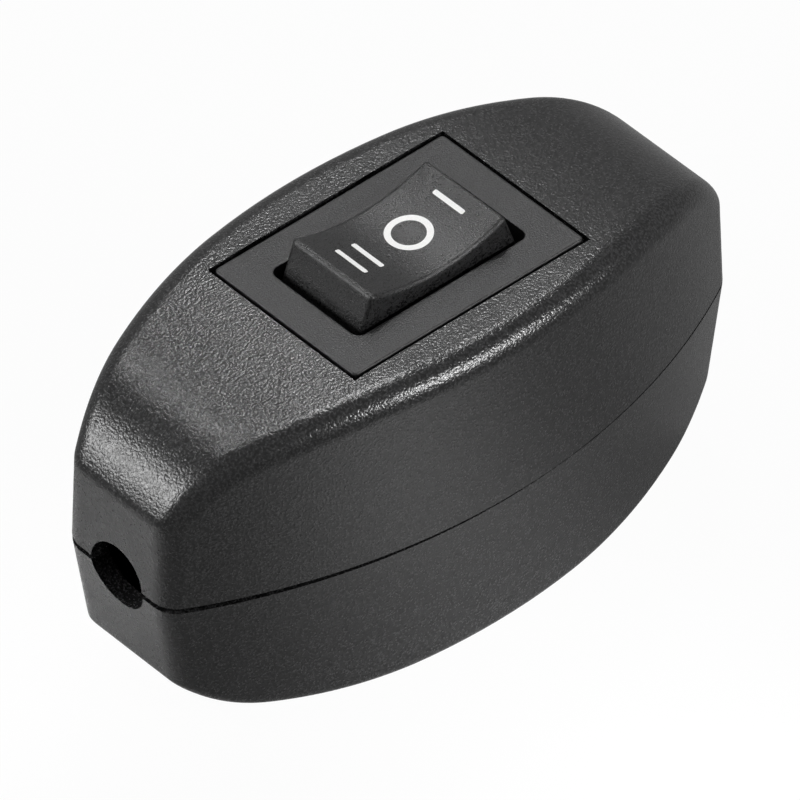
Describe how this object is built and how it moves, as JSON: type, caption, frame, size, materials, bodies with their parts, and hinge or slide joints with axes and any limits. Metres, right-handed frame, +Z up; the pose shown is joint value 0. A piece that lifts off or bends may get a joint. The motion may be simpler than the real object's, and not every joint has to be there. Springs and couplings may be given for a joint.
{
  "type": "inline cord switch",
  "caption": "Inline cord switch: a two-part lens-shaped case with a round cord entry at each end and a centre-off rocker in a flush insert on top.",
  "frame": {"origin": "middle of the flat base, on the surface that the switch lies on", "axes": "+X along the case from the II end to the I end, +Z up through the rocker, +Y across the case"},
  "size_m": [0.072, 0.0332, 0.0403],
  "materials": {
    "case_plastic": "black moulded plastic with a fine eroded grain",
    "insert_plastic": "black moulded plastic, finer matte grain",
    "rocker_plastic": "black moulded plastic, finer matte grain, white printed signs",
    "carrier_plastic": "natural thermoset moulding",
    "plunger_nylon": "natural nylon",
    "clamp_plastic": "black moulded plastic",
    "spring_steel": "bright spring wire",
    "copper_strip": "rolled copper alloy",
    "brass": "bright brass",
    "silver": "silver contact rivet",
    "plated_steel": "zinc plated steel"
  },
  "bodies": {
    "case": {"upper_shell": "case_plastic", "lower_shell": "case_plastic", "switch_frame": "insert_plastic", "switch_base": "carrier_plastic", "common_strip": "brass", "line_strip_front": "brass", "line_strip_rear": "brass", "fixed_tips": "silver", "terminal_cages": "plated_steel", "terminal_screws": "plated_steel", "earth_connector": "brass", "neutral_connector": "brass", "connector_screws": "plated_steel", "cord_clamp_front": "clamp_plastic", "cord_clamp_rear": "clamp_plastic", "clamp_screws": "plated_steel", "case_screws": "plated_steel"},
    "rocker": {"rocker": "rocker_plastic", "plunger_spring": "spring_steel"},
    "plunger": {"plunger": "plunger_nylon"},
    "contact": {"contact_bar": "copper_strip", "contact_bar_tips": "silver"}
  },
  "joints": [
    {"name": "rocker_tilt", "type": "hinge", "parent": "case", "child": "rocker", "pos_m": [0, 0, 0.0331], "axis": [0, 1, 0], "range_deg": [-11, 11]},
    {"name": "contact_tilt", "type": "hinge", "parent": "case", "child": "contact", "pos_m": [0, 0, 0.02415], "axis": [0, 1, 0], "range_deg": [-6.65, 6.65]},
    {"name": "plunger_slide", "type": "slide", "parent": "rocker", "child": "plunger", "axis": [0, 0, 1], "range_m": [0, 0.0008], "stiffness_N_per_m": 400, "springref_m": -0.002, "deforming": ["plunger_spring"]}
  ],
  "couplings": [
    {"joint": "contact_tilt", "follows": "rocker_tilt", "ratio": -0.6}
  ]
}
